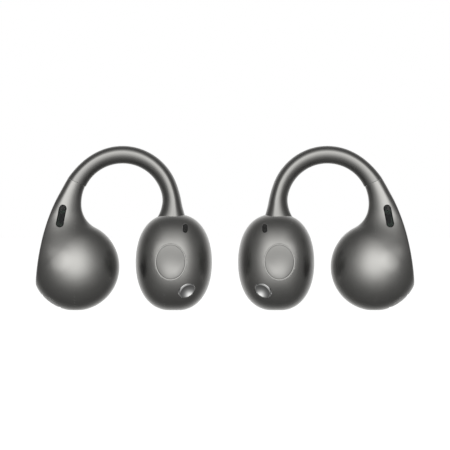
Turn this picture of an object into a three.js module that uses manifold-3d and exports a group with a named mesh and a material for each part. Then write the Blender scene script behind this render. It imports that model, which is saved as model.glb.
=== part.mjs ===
// A pair of clip-on open-ear earbuds. Each one is a speaker pod and a battery pod joined by a flexible bridge.
// Millimetres, +Z up. The origin is on the surface under the middle of the pair, and the pods' fronts face -Y.
import * as THREE from 'three';
import { mergeVertices } from 'three/addons/utils/BufferGeometryUtils.js';
import Module from 'manifold-3d';

const wasm = await Module();
wasm.setup();

// Driving dimensions of one earbud. x runs outward from the middle of the pair.
const ball = { x: 23.32, z: 6.76, radius: 6.84 }; // speaker pod's sphere, cut flat where it stands at z = 0
const egg = { x: 7.98, z: 7.45, halfWidth: 5.95, halfHeight: 7.53, halfDepth: 7.8, round: [2.5, 2.15, 2.1] };
const arch = { x: 15.95, z: 16.6, radius: 7.7, startAngle: 24.6 }; // bridge centreline, degrees up from +x
const bridgeOuter = { radius: 9.01, sag: 0.06, shoulder: 0.44, shoulderSpan: 45, footFlare: 0.27 };
const bridgeInner = { radius: 6.25, shoulder: 0.09, footFlare: 0.1 };
const footFlare = { from: 160, span: 20 }; // degrees
const bridgeHalfDepth = { speakerEnd: 1.95, crown: 1.9, batteryEnd: 2.75 };
const bridgeRidge = 0.25; // the fullest line lies this share of the half thickness towards the outer side
const outerFace = { cornerX: 29.56, cornerZ: 3.82, lean: 0.05, bow: 0.0115, curl: 0.0002, domeRadius: 45 };
const neck = { throatRadius: 6.45, filletRadius: 4, top: 21.2, foot: 9 };
const neckDepth = { high: 1.95, from: 20.05, low: 5.75, to: 6.05 }; // it deepens downwards
const neckRidge = { low: 0.65, high: 0.6 }; // where the neck's fullest line lies, from its inner to its outer side
const neckBlend = 1.6; // how widely the neck runs into the ball
const wall = { speaker: 0.7, battery: 0.8 };
const pieceGap = 0.12; // between neighbouring pieces
const speakerSplitX = 23.3; // the speaker pod's two shells meet on this plane
const batterySplitX = 9.42; // the battery pod's two shells meet on this plane
const flexRelief = { open: 24, close: 6, gap: 0.3 }; // degrees of room where the two sleeve halves meet

// Openings and pieces on the shells
const pill = { x: 25.43, z: 14.66, width: 1.19, length: 3.52, tilt: 10 };
const outlet = { angle: -55, width: 3.5, depth: 6 }; // grille low on the ball, degrees up from +x
const button = { x: 8.38, z: 7.55, halfWidth: 2.42, halfHeight: 2.85, face: -7.57, depth: 1.15 };
const buttonCollar = 0.55; // how far the outer shell reaches past the button at the split
const port = { x: 6.16, z: 12.75, width: 0.78, length: 1.4 };
const contact = { x: 5.87, y: -6.02, z: 3.1, radius: 1.36, depth: 0.7, normal: [-0.43, -0.69, -0.58] };
const meshLayer = { top: 0.35, bottom: 0.6 }; // how deep a mesh lies below the surface
const driver = { angle: -55, radius: 4.3 };

const front = -12; // a cut from the front starts here
const rowsOnBall = 8;
const rowsOnNeck = 6;
const sidesOfPod = 24;
const { degToRad: radians, lerp, smoothstep } = THREE.MathUtils;

function paint(color, roughness, metalness) {
  return new THREE.MeshStandardMaterial({ color, roughness, metalness });
}

const finish = {
  shell: paint(0x7b7a76, 0.34, 0.85),
  sleeve: paint(0x74736f, 0.42, 0.5),
  chrome: paint(0xdcdcda, 0.08, 1),
  mesh: paint(0x202222, 0.7, 0.3),
  grille: paint(0x5c5c59, 0.5, 0.8),
  steel: paint(0x9a9a98, 0.35, 1),
  magnet: paint(0xb9babc, 0.25, 1),
  copper: paint(0xb5673a, 0.4, 1),
  film: paint(0x2b2a2d, 0.5, 0),
  foam: paint(0x1c1c1c, 0.95, 0),
  board: paint(0x1d3a2a, 0.55, 0),
  chip: paint(0x17181a, 0.45, 0),
  nylon: paint(0x3a3b3d, 0.6, 0),
  cell: paint(0xa9abac, 0.3, 1),
  flex: paint(0x8a5a1e, 0.5, 0),
};

// ---------- closed solids, joins and cuts ----------

function welded(geometry) {
  const bare = geometry.clone();
  bare.deleteAttribute('normal');
  bare.deleteAttribute('uv');
  const merged = mergeVertices(bare, 1e-4);
  const corner = merged.index.array;
  const kept = [];
  for (let i = 0; i < corner.length; i += 3) {
    const [a, b, c] = [corner[i], corner[i + 1], corner[i + 2]];
    if (a !== b && b !== c && c !== a) kept.push(a, b, c);
  }
  merged.setIndex(kept);
  if (volume(merged) < 0) merged.setIndex(kept.reverse());
  return merged;
}

function volume(geometry) {
  const at = geometry.attributes.position;
  const corner = geometry.index.array;
  const [a, b, c] = [new THREE.Vector3(), new THREE.Vector3(), new THREE.Vector3()];
  let sum = 0;
  for (let i = 0; i < corner.length; i += 3) {
    a.fromBufferAttribute(at, corner[i]);
    b.fromBufferAttribute(at, corner[i + 1]);
    c.fromBufferAttribute(at, corner[i + 2]);
    sum += a.dot(b.cross(c)) / 6;
  }
  return sum;
}

function solid(geometry) {
  const closed = welded(geometry);
  const vertProperties = Float32Array.from(closed.attributes.position.array);
  const triVerts = Uint32Array.from(closed.index.array);
  return new wasm.Manifold(new wasm.Mesh({ numProp: 3, vertProperties, triVerts }));
}

function surface(cut) {
  const mesh = cut.getMesh();
  const geometry = new THREE.BufferGeometry();
  geometry.setAttribute('position', new THREE.BufferAttribute(mesh.vertProperties, 3));
  geometry.setIndex(new THREE.BufferAttribute(mesh.triVerts, 1));
  return geometry;
}

function block(low, high) {
  const size = high.map((value, i) => value - low[i]);
  const box = new THREE.BoxGeometry(...size);
  return box.translate(...low.map((value, i) => value + size[i] / 2));
}

// A flat shape in x and z, pushed along Y from y0 to y1
function prism(shape, y0, y1) {
  const geometry = new THREE.ExtrudeGeometry(shape, { depth: y1 - y0, bevelEnabled: false, curveSegments: 7 });
  return geometry.rotateX(Math.PI / 2).translate(0, y1, 0);
}

function ellipse(x, z, halfWidth, halfHeight) {
  const shape = new THREE.Shape();
  shape.absellipse(x, z, halfWidth, halfHeight, 0, 2 * Math.PI);
  return shape;
}

// An upright slot with round ends, leaning by tilt degrees towards +x at its foot
function slot({ x, z, width, length, tilt = 0 }, grow) {
  const radius = width / 2 + grow;
  const reach = length / 2 - width / 2;
  const lean = radians(tilt);
  const [dx, dz] = [-Math.sin(lean) * reach, Math.cos(lean) * reach];
  const shape = new THREE.Shape();
  shape.absarc(x + dx, z + dz, radius, lean, lean + Math.PI, false);
  shape.absarc(x - dx, z - dz, radius, lean + Math.PI, lean + 2 * Math.PI, false);
  return shape;
}

// A turned piece: its profile is [radius, height] pairs, and its axis starts at a point and runs along a direction
function turned(profile, start, direction, segments = 14) {
  const points = profile.map(([radius, height]) => new THREE.Vector2(radius, height));
  const geometry = new THREE.LatheGeometry(points, segments);
  const axis = new THREE.Vector3(...direction).normalize();
  const turn = new THREE.Quaternion().setFromUnitVectors(new THREE.Vector3(0, 1, 0), axis);
  return welded(geometry.applyQuaternion(turn).translate(...start));
}

function disc(radius, low, high) {
  return [[0, low], [radius, low], [radius, high], [0, high]];
}

function ring(inside, outside, low, high) {
  return [[inside, low], [outside, low], [outside, high], [inside, high], [inside, low]];
}

// Every vertex of an upright cylinder moves to place(height from 0 to 1, angle, 0 at the axis to 1 at the rim)
function lofted(sides, rows, place) {
  const geometry = new THREE.CylinderGeometry(1, 1, 1, sides, rows);
  const at = geometry.attributes.position;
  for (let i = 0; i < at.count; i += 1) {
    const [x, y, z] = [at.getX(i), at.getY(i), at.getZ(i)];
    const moved = place(y + 0.5, Math.atan2(-z, x), Math.round(Math.hypot(x, z)));
    at.setXYZ(i, moved.x, moved.y, moved.z);
  }
  return geometry;
}

// ---------- the outer forms ----------

// Where the speaker pod's inner side lies at a height: the bridge's throat, a fillet, then the ball
function innerSide(z, inset) {
  const throat = neck.throatRadius + inset;
  const fillet = neck.filletRadius + inset;
  const middle = filletCentre();
  const throatEnd = arch.z + ((middle.z - arch.z) * neck.throatRadius) / (neck.throatRadius - neck.filletRadius);
  const ballEnd = ball.z + ((middle.z - ball.z) * ball.radius) / (ball.radius + neck.filletRadius);
  if (z > throatEnd) return arch.x + Math.sqrt(throat ** 2 - (z - arch.z) ** 2);
  if (z > ballEnd) return middle.x + Math.sqrt(fillet ** 2 - (z - middle.z) ** 2);
  return ball.x - Math.sqrt(Math.max((ball.radius - inset) ** 2 - (z - ball.z) ** 2, 0));
}

// The fillet's circle lies inside the throat's circle and outside the ball
function filletCentre() {
  const toArch = neck.throatRadius - neck.filletRadius;
  const toBall = ball.radius + neck.filletRadius;
  const [dx, dz] = [ball.x - arch.x, ball.z - arch.z];
  const apart = Math.hypot(dx, dz);
  const along = (toArch ** 2 - toBall ** 2 + apart ** 2) / (2 * apart);
  const aside = Math.sqrt(toArch ** 2 - along ** 2);
  return {
    x: arch.x + (dx * along - dz * aside) / apart,
    z: arch.z + (dz * along + dx * aside) / apart,
  };
}

function outerSide(z, inset) {
  const up = z - outerFace.cornerZ;
  return outerFace.cornerX - inset - outerFace.lean * up - outerFace.bow * up ** 2 - outerFace.curl * up ** 3;
}

// The neck's level section: its ridge, its reach inward and outward, and its half depth
function neckSection(z, inset) {
  const inner = arch.x + Math.sqrt(neck.throatRadius ** 2 - Math.max(z - arch.z, 0) ** 2);
  const outer = outerSide(z, 0);
  const share = inset === 0 ? lerp(neckRidge.low, neckRidge.high, smoothstep(z, 17, 20)) : 0.5;
  const ridge = lerp(inner, outer, share);
  const room = 1.2 * (1 - smoothstep(z, 12, 19)); // the flat outer face cuts this much off
  const depth = lerp(neckDepth.low, neckDepth.high, smoothstep(z, neckDepth.to, neckDepth.from)) - inset;
  return { ridge, inward: ridge - inner - inset, outward: outer + room - ridge - inset, depth };
}

// Below zero inside the ball or the neck, which run into each other smoothly
function podField(x, y, z, inset) {
  const inBall = Math.hypot(x - ball.x, y, z - ball.z) - ball.radius + inset;
  const { ridge, inward, outward, depth } = neckSection(z, inset);
  const across = x < ridge ? inward : outward;
  const away = Math.hypot((x - ridge) / across, y / depth);
  const inNeck = (away - 1) * depth + 0.12 * Math.max(neck.foot - z, 0) ** 2;
  const near = Math.max(neckBlend - Math.abs(inBall - inNeck), 0) / neckBlend;
  return Math.min(inBall, inNeck) - (near ** 2 * neckBlend) / 4;
}

// How far the ball and neck reach from a point inside them at an angle round their level section
function podReach(middle, angle, z, inset) {
  const [c, s] = [Math.cos(angle), Math.sin(angle)];
  let [low, high] = [0, 12];
  for (let i = 0; i < 34; i += 1) {
    const half = (low + high) / 2;
    if (podField(middle + half * c, half * s, z, inset) > 0) high = half;
    else low = half;
  }
  return low;
}

function podHeight(along, inset) {
  const lowest = 171.2; // degrees from the top of the ball to the edge of its flat foot
  const highest = 55;
  const onBall = rowsOnBall / (rowsOnBall + rowsOnNeck);
  const radius = ball.radius - inset;
  const neckStart = ball.z + radius * Math.cos(radians(highest));
  if (along > onBall) return THREE.MathUtils.mapLinear(along, onBall, 1, neckStart, neck.top);
  return ball.z + radius * Math.cos(radians(THREE.MathUtils.mapLinear(along, 0, onBall, lowest, highest)));
}

// The speaker pod's skin: level sections of the ball and neck, cut by the gently domed outer face
function podSkin(inset) {
  const place = (along, angle, rim) => {
    const z = podHeight(along, inset);
    const middle = lerp(ball.x, neckSection(z, inset).ridge, smoothstep(z, ball.z + 2, ball.z + 6.4));
    const [c, s] = [Math.cos(angle), Math.sin(angle)];
    let reach = podReach(middle, angle, z, inset);
    if (c > 0) {
      const sag = (s * s) / (2 * outerFace.domeRadius) + 1e-9;
      const toFace = (Math.sqrt(c * c + 4 * sag * (outerSide(z, inset) - middle)) - c) / (2 * sag);
      reach = Math.min(reach, toFace);
    }
    // the side towards the other pod is known exactly
    const inner = podReach(middle, Math.PI, z, inset);
    const missing = middle - innerSide(z, inset) - inner;
    const x = c < 0 ? reach * c - missing * ((-reach * c) / inner) ** 3 : reach * c;
    return new THREE.Vector3(middle + rim * x, rim * reach * s, z);
  };
  return solid(lofted(sidesOfPod, rowsOnBall + rowsOnNeck, place));
}

// The battery pod's skin: an egg whose sections are slightly squared ellipses
function eggSkin(inset) {
  const geometry = new THREE.SphereGeometry(1, 24, 14);
  const at = geometry.attributes.position;
  const size = [egg.halfWidth - inset, egg.halfDepth - inset, egg.halfHeight - inset];
  for (let i = 0; i < at.count; i += 1) {
    const along = [at.getX(i), -at.getZ(i), at.getY(i)];
    let [low, high] = [0, 10];
    for (let step = 0; step < 40; step += 1) {
      const half = (low + high) / 2;
      const level = along.reduce((sum, v, j) => sum + Math.abs((v * half) / size[j]) ** egg.round[j], 0);
      if (level > 1) high = half;
      else low = half;
    }
    at.setXYZ(i, egg.x + along[0] * low, along[1] * low, egg.z + along[2] * low);
  }
  return solid(geometry);
}

// The radii of the bridge's two sides where it has turned by an angle in degrees
function bridgeSides(degrees) {
  const start = Math.max(1 - (degrees - arch.startAngle) / bridgeOuter.shoulderSpan, 0);
  const flare = Math.max(degrees - footFlare.from, 0) / footFlare.span;
  const sag = bridgeOuter.sag * smoothstep(degrees, 90, 150);
  const shoulder = bridgeInner.shoulder * (1 - smoothstep(degrees, arch.startAngle, 90));
  return {
    outer: bridgeOuter.radius - sag + bridgeOuter.shoulder * start ** 3 + bridgeOuter.footFlare * flare ** 2,
    inner: bridgeInner.radius + shoulder - bridgeInner.footFlare * flare ** 3.7,
  };
}

function bridgeRadius(degrees) {
  const { inner, outer } = bridgeSides(degrees);
  return (inner + outer) / 2;
}

// The bridge's centreline: an arc from the speaker pod over the crown, then straight down into the battery pod
class BridgeLine extends THREE.Curve {
  constructor(fromAngle, footZ, y = 0) {
    super();
    this.from = radians(fromAngle);
    this.arc = Math.PI - this.from;
    this.drop = Math.max(arch.z - footZ, 0) / arch.radius;
    this.y = y;
  }

  getPoint(t, target = new THREE.Vector3()) {
    const angle = this.from + t * (this.arc + this.drop);
    const past = Math.max(angle - Math.PI, 0);
    const turn = Math.min(angle, Math.PI);
    const radius = bridgeRadius(THREE.MathUtils.radToDeg(turn));
    return target.set(arch.x + radius * Math.cos(turn), this.y, arch.z + radius * (Math.sin(turn) - past));
  }
}

function bridgeDepth(degrees) {
  const { speakerEnd, crown, batteryEnd } = bridgeHalfDepth;
  if (degrees < 90) return THREE.MathUtils.mapLinear(degrees, arch.startAngle, 90, speakerEnd, crown);
  return lerp(crown, batteryEnd, smoothstep(degrees, 90, 195));
}

// A tube along the bridge; its section at an angle has a half thickness, a half depth and a shifted ridge
function sleeveSkin(fromAngle, toAngle, rows, section) {
  const place = (along, angle, rim) => {
    const degrees = lerp(fromAngle, toAngle, along);
    const turn = radians(Math.min(degrees, 180));
    const past = radians(Math.max(degrees - 180, 0)) * arch.radius;
    const [half, depth, ridge] = section(degrees);
    const across = Math.cos(angle) > 0 ? half - ridge : half + ridge;
    const reach = bridgeRadius(degrees) + ridge + rim * across * Math.cos(angle);
    const x = arch.x + reach * Math.cos(turn);
    return new THREE.Vector3(x, rim * depth * Math.sin(angle), arch.z + reach * Math.sin(turn) - past);
  };
  return solid(lofted(10, rows, place));
}

// A half space's stand-in: a big block on the far side of a plane through a point, seen along the plane's normal
function beyond(point, degrees, size = 30) {
  const geometry = block([0, -size / 2, -size / 2], [size, size / 2, size / 2]);
  return solid(geometry.rotateY(-radians(degrees)).translate(point.x, 0, point.z));
}

const floorBlock = solid(block([-5, -15, -10], [40, 15, 0]));

// ---------- speaker pod ----------

// The plane where the sleeve meets the speaker pod, square to the bridge
const seam = {
  x: arch.x + bridgeRadius(arch.startAngle) * Math.cos(radians(arch.startAngle)),
  z: arch.z + bridgeRadius(arch.startAngle) * Math.sin(radians(arch.startAngle)),
};

function radialFrame(degrees) {
  const along = radians(degrees);
  return { x: Math.cos(along), z: Math.sin(along) };
}

// A rounded plug that runs out from the ball's centre through the outlet grille
function outletPlug(grow) {
  const reach = (outlet.depth - outlet.width) / 2;
  const shape = new THREE.Shape();
  shape.absarc(0, reach, outlet.width / 2 + grow, 0, Math.PI, false);
  shape.absarc(0, -reach, outlet.width / 2 + grow, Math.PI, 2 * Math.PI, false);
  const plug = new THREE.ExtrudeGeometry(shape, { depth: 9, bevelEnabled: false, curveSegments: 4 });
  return solid(plug.rotateY(Math.PI / 2 - radians(outlet.angle)).translate(ball.x, 0, ball.z));
}

function speakerShells() {
  const hollow = podSkin(0).subtract(podSkin(wall.speaker));
  const trimmed = hollow.subtract(beyond(seam, arch.startAngle + 90));
  const opened = trimmed.subtract(outletPlug(pieceGap)).subtract(solid(prism(slot(pill, 0), front, 0)));
  const outerSideOnly = solid(block([speakerSplitX + pieceGap / 2, -12, -1], [40, 12, 30]));
  const innerSideOnly = solid(block([10, -12, -1], [speakerSplitX - pieceGap / 2, 12, 30]));
  return {
    speaker_outer_shell: [surface(opened.intersect(outerSideOnly)), finish.shell],
    speaker_inner_shell: [surface(opened.intersect(innerSideOnly)), finish.shell],
  };
}

function speakerMeshes() {
  const thinLayer = podSkin(meshLayer.top).subtract(podSkin(meshLayer.bottom));
  const grilleLayer = podSkin(0).subtract(podSkin(meshLayer.top));
  const pillPlug = solid(prism(slot(pill, -pieceGap), front, 0));
  return {
    slot_mesh: [surface(thinLayer.intersect(pillPlug)), finish.mesh],
    outlet_grille: [surface(grilleLayer.intersect(outletPlug(0))), finish.grille],
  };
}

function driverParts() {
  const aim = radialFrame(driver.angle);
  const axis = [aim.x, 0, aim.z];
  const start = [ball.x, 0, ball.z];
  const rim = driver.radius;
  const frame = [
    [rim - 1.3, -1.6], [rim, -1.6], [rim, 1.4], [rim - 0.4, 1.4],
    [rim - 0.4, -1.2], [rim - 1.3, -1.2], [rim - 1.3, -1.6],
  ];
  const yoke = [[0, -2.4], [2.85, -2.4], [2.85, -0.2], [2.65, -0.2], [2.65, -2.1], [0, -2.1]];
  const cone = [
    [0, 1.05], [2, 0.75], [3.1, 1], [3.75, 0.7], [3.75, 0.85], [3.1, 1.15], [2, 0.9], [0, 1.2],
  ];
  return {
    driver_frame: [turned(frame, start, axis), finish.nylon],
    driver_yoke: [turned(yoke, start, axis), finish.steel],
    driver_magnet: [turned(disc(1.9, -1.95, -0.65), start, axis), finish.magnet],
    driver_plate: [turned(disc(1.9, -0.5, -0.1), start, axis), finish.steel],
    voice_coil: [turned(ring(2.15, 2.4, -1, 0.45), start, axis), finish.copper],
    diaphragm: [turned(cone, start, axis), finish.film],
    driver_gasket: [turned(ring(rim - 0.6, rim, 1.55, 2.1), start, axis), finish.foam],
  };
}

function speakerElectronics() {
  return {
    voice_mic: [block([24.5, -1.65, 13.6], [25.8, -1.32, 15]), finish.chip],
    speaker_board: [block([23.7, -1.2, 11.9], [26.3, -0.8, 15.5]), finish.board],
    speaker_wire_anchor: [block([23.6, -1, 15.9], [24.9, 1, 17.2]), finish.nylon],
  };
}

// ---------- bridge ----------

const channel = { halfThickness: 0.55, halfDepth: 1.2 };

function sleeveHalves() {
  const outside = (degrees) => {
    const { inner, outer } = bridgeSides(degrees);
    const half = (outer - inner) / 2;
    return [half, bridgeDepth(degrees), half * bridgeRidge];
  };
  const inside = () => [channel.halfThickness, channel.halfDepth, 0];
  const footAngle = 202; // well inside the battery pod, whose skin cuts the sleeve to length
  const whole = sleeveSkin(6, footAngle, 14, outside).subtract(sleeveSkin(2, footAngle + 4, 15, inside));
  const uphill = radialFrame(arch.startAngle + 90);
  const sleeveEnd = { x: seam.x + pieceGap * uphill.x, z: seam.z + pieceGap * uphill.z };
  const trimmed = whole.subtract(beyond(sleeveEnd, arch.startAngle - 90)).subtract(eggSkin(-pieceGap));
  const crown = { x: arch.x, z: arch.z + arch.radius };
  const half = flexRelief.gap / 2;
  const batterySide = solid(block([-5, -12, 0], [crown.x - half, 12, 40]));
  const speakerSide = solid(block([crown.x + half, -12, 0], [40, 12, 40]));
  const openWedge = wedge(crown, flexRelief.open, 1);
  const closeWedge = wedge(crown, flexRelief.close, -1);
  return {
    sleeve_speaker_half: [
      surface(trimmed.intersect(speakerSide).subtract(openWedge).subtract(closeWedge)),
      finish.sleeve,
    ],
    sleeve_battery_half: [surface(trimmed.intersect(batterySide)), finish.sleeve],
  };
}

// The room that one sleeve half needs to swing: a triangle above or below the hinge line
function wedge(crown, degrees, up) {
  const tall = 3;
  const shape = new THREE.Shape();
  shape.moveTo(crown.x, crown.z);
  shape.lineTo(crown.x + flexRelief.gap / 2 + tall * Math.tan(radians(degrees)), crown.z + up * tall);
  shape.lineTo(crown.x, crown.z + up * tall);
  shape.closePath();
  return solid(prism(shape, -6, 6));
}

function bridgeCore() {
  const round = new THREE.Shape().absarc(0, 0, 0.35, 0, 2 * Math.PI);
  const flat = new THREE.Shape();
  flat.moveTo(-0.5, -0.12);
  flat.lineTo(0.5, -0.12);
  flat.lineTo(0.5, 0.12);
  flat.lineTo(-0.5, 0.12);
  flat.closePath();
  const along = (y) => ({ extrudePath: new BridgeLine(10, 13.75, y), steps: 16, bevelEnabled: false, curveSegments: 3 });
  return {
    spring_wire: [welded(new THREE.ExtrudeGeometry(round, along(-0.6))), finish.steel],
    flex_cable: [welded(new THREE.ExtrudeGeometry(flat, along(0.5))), finish.flex],
  };
}

// ---------- battery pod ----------

function contactDisc(side, grow) {
  const normal = new THREE.Vector3(contact.normal[0], contact.normal[1] * side, contact.normal[2]).normalize();
  const start = [contact.x, contact.y * side, contact.z];
  return turned(disc(contact.radius + grow, -contact.depth - 3 * grow, 9 * grow), start, normal.toArray());
}

function batteryShells() {
  let shell = eggSkin(0).subtract(eggSkin(wall.battery)).subtract(floorBlock);
  const passage = block([arch.x - arch.radius - 0.9, -1.7, 10], [arch.x - arch.radius + 0.9, 1.7, 18]);
  const buttonHole = ellipse(button.x, button.z, button.halfWidth + pieceGap, button.halfHeight + pieceGap);
  const openings = [passage, prism(buttonHole, front, 0), prism(slot(port, 0), front, 0)];
  openings.push(contactDisc(1, pieceGap), contactDisc(-1, pieceGap));
  openings.forEach((opening) => {
    shell = shell.subtract(solid(opening));
  });
  const collar = (grow) => {
    const reach = buttonCollar + grow;
    return solid(prism(ellipse(button.x, button.z, button.halfWidth + reach, button.halfHeight + reach), front, 0));
  };
  const outerPart = solid(block([-2, -12, -1], [batterySplitX - pieceGap / 2, 12, 30])).add(collar(0));
  const innerPart = solid(block([batterySplitX + pieceGap / 2, -12, -1], [20, 12, 30])).subtract(collar(pieceGap));
  return {
    battery_outer_shell: [surface(shell.intersect(outerPart)), finish.shell],
    battery_inner_shell: [surface(shell.intersect(innerPart)), finish.shell],
  };
}

function batteryFittings() {
  const plate = ellipse(button.x, button.z, button.halfWidth, button.halfHeight);
  const thinLayer = eggSkin(meshLayer.top).subtract(eggSkin(meshLayer.bottom));
  const portPlug = solid(prism(slot(port, -pieceGap / 2), front, 0));
  return {
    control_button: [welded(prism(plate, button.face, button.face + button.depth)), finish.shell],
    charging_contact_front: [contactDisc(1, 0), finish.chrome],
    charging_contact_back: [contactDisc(-1, 0), finish.chrome],
    port_mesh: [surface(thinLayer.intersect(portPlug)), finish.mesh],
  };
}

function batteryInsides() {
  return {
    dome_switch: [turned(disc(1.2, 0, 1.45), [button.x, -4.55, button.z], [0, -1, 0]), finish.steel],
    main_board: [block([5.2, -4.4, 3.9], [10.8, -3.9, 11.2]), finish.board],
    main_chip: [block([6.9, -5.2, 9.35], [9.3, -4.55, 11]), finish.chip],
    battery_cell: [turned(disc(4.5, 0, 4.8), [5.5, 1.25, 7.1], [1, 0, 0]), finish.cell],
    case_magnet: [turned(disc(1.1, 0, 0.75), [7.95, 1, 1.35], [0, 0, 1]), finish.magnet],
    battery_wire_anchor: [block([7.35, -1.5, 12.3], [9.15, 1.5, 13.4]), finish.nylon],
  };
}

// ---------- the pair ----------

function earbud(side) {
  const group = new THREE.Group();
  const pieces = {
    ...speakerShells(),
    ...speakerMeshes(),
    ...driverParts(),
    ...speakerElectronics(),
    ...sleeveHalves(),
    ...bridgeCore(),
    ...batteryShells(),
    ...batteryFittings(),
    ...batteryInsides(),
  };
  Object.entries(pieces).forEach(([name, [geometry, material]]) => {
    const mesh = new THREE.Mesh(geometry, material.clone());
    mesh.name = `${side}_${name}`;
    group.add(mesh);
  });
  return group;
}

const leftBud = earbud('left');
leftBud.scale.x = -1; // the left earbud is the right one's mirror image

const pair = new THREE.Group();
pair.add(leftBud, earbud('right'));

export default pair;
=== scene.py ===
# A pair of clip-on open-ear earbuds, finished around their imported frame. Metres, +Z up, the fronts face -Y.
import math
import bmesh
import bpy
import numpy as np
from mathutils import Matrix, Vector


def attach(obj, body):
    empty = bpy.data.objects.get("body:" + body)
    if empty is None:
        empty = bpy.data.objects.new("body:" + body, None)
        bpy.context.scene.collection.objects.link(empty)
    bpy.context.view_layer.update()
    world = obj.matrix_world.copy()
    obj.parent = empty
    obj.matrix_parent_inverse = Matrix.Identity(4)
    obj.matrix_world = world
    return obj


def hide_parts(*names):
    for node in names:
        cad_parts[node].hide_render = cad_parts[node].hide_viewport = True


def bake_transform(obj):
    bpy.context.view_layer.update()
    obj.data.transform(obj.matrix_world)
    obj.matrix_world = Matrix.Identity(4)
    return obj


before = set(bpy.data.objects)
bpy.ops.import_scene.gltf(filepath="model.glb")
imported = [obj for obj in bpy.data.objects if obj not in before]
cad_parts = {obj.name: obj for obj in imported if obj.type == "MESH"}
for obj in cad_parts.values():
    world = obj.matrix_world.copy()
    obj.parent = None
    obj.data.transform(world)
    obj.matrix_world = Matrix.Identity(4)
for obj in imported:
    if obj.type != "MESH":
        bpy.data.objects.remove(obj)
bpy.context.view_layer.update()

mm = 0.001  # every form below is in millimetres until its mesh is made
sides = {"right": 1, "left": -1}  # forms are made for the right earbud, and the left one is its mirror image
hairline = 0.002  # the open line between two shells that are clipped together


def smoothstep(value, low, high):
    t = np.clip((value - low) / (high - low), 0, 1)
    return t * t * (3 - 2 * t)


def mix(a, b, weight):
    return a + (b - a) * weight


def direction(degrees):
    return math.cos(math.radians(degrees)), math.sin(math.radians(degrees))


buds = {side: bpy.data.collections.new(f"{side}Bud") for side in sides}  # what each side lamp lights


def meshFrom(name, points, faces):
    mesh = bpy.data.meshes.new(name)
    mesh.from_pydata((np.asarray(points, dtype=float) * mm).tolist(), [], faces)
    bm = bmesh.new()
    bm.from_mesh(mesh)
    if bm.calc_volume(signed=True) < 0:
        bmesh.ops.reverse_faces(bm, faces=bm.faces[:])
    bm.to_mesh(mesh)
    bm.free()
    return mesh


def loft(name, rings):
    # A closed solid through rings of points, its two ends closed by fans
    rings = np.asarray(rings, dtype=float)
    count, around = rings.shape[:2]
    points = np.concatenate([rings.reshape(-1, 3), [rings[0].mean(0), rings[-1].mean(0)]])
    faces = []
    for row in range(count - 1):
        for i in range(around):
            j = (i + 1) % around
            faces.append((row * around + i, row * around + j, (row + 1) * around + j, (row + 1) * around + i))
    first, last = count * around, count * around + 1
    top = (count - 1) * around
    for i in range(around):
        j = (i + 1) % around
        faces.append((first, j, i))
        faces.append((last, top + i, top + j))
    return meshFrom(name, points, faces)


def prismY(name, outline, y0, y1):
    return loft(name, [[[x, y, z] for x, z in outline] for y in (y0, y1)])


def boolean(mesh, other, operation="DIFFERENCE"):
    # The result of one mesh cut by, cut to or joined with another; both are used up
    body = bpy.data.objects.new("body", mesh)
    tool = bpy.data.objects.new("tool", other)
    for item in (body, tool):
        bpy.context.scene.collection.objects.link(item)
    modifier = body.modifiers.new("cut", "BOOLEAN")
    modifier.operation = operation
    modifier.solver = "MANIFOLD"
    modifier.object = tool
    result = evaluated(body)
    for item in (body, tool):
        bpy.data.objects.remove(item)
    for used in (mesh, other):
        bpy.data.meshes.remove(used)
    return result


def evaluated(item):
    depsgraph = bpy.context.evaluated_depsgraph_get()
    return bpy.data.meshes.new_from_object(item.evaluated_get(depsgraph))


def rounded(mesh, angle=32):
    mesh.shade_smooth()
    mesh.set_sharp_from_angle(angle=math.radians(angle))
    return mesh


def mirrored(mesh):
    copy = mesh.copy()
    points = np.empty(len(copy.vertices) * 3)
    copy.vertices.foreach_get("co", points)
    points[0::3] *= -1
    copy.vertices.foreach_set("co", points)
    copy.flip_normals()
    return copy


def mapped(mesh, place):
    # Moves every point of a mesh, in millimetres
    points = np.empty(len(mesh.vertices) * 3)
    mesh.vertices.foreach_get("co", points)
    moved = place(points.reshape(-1, 3) / mm) * mm
    mesh.vertices.foreach_set("co", moved.ravel())
    mesh.update()
    return mesh


def addPiece(name, mesh, material, nodes, body=None, bend=None):
    mesh.materials.clear()
    mesh.materials.append(material)
    rounded(mesh)
    for side, sign in sides.items():
        sideMesh = mesh.copy() if sign > 0 else mirrored(mesh)
        sideMesh.name = f"{side}_{name}"
        piece = bpy.data.objects.new(f"{side}_{name}", sideMesh)
        bpy.context.scene.collection.objects.link(piece)
        if bend:
            start, end = [(sign * x * mm, y * mm, z * mm) for x, y, z in bend]
            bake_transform(piece)
            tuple(start)
            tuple(end)
        else:
            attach(piece, f"{side}_{body}")
        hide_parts(*[f"{side}_{node}" for node in nodes])
        piece.visible_glossy = False  # a bud's pieces don't mirror each other, as in an evenly lit studio
        buds[side].objects.link(piece)
    bpy.data.meshes.remove(mesh)


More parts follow.
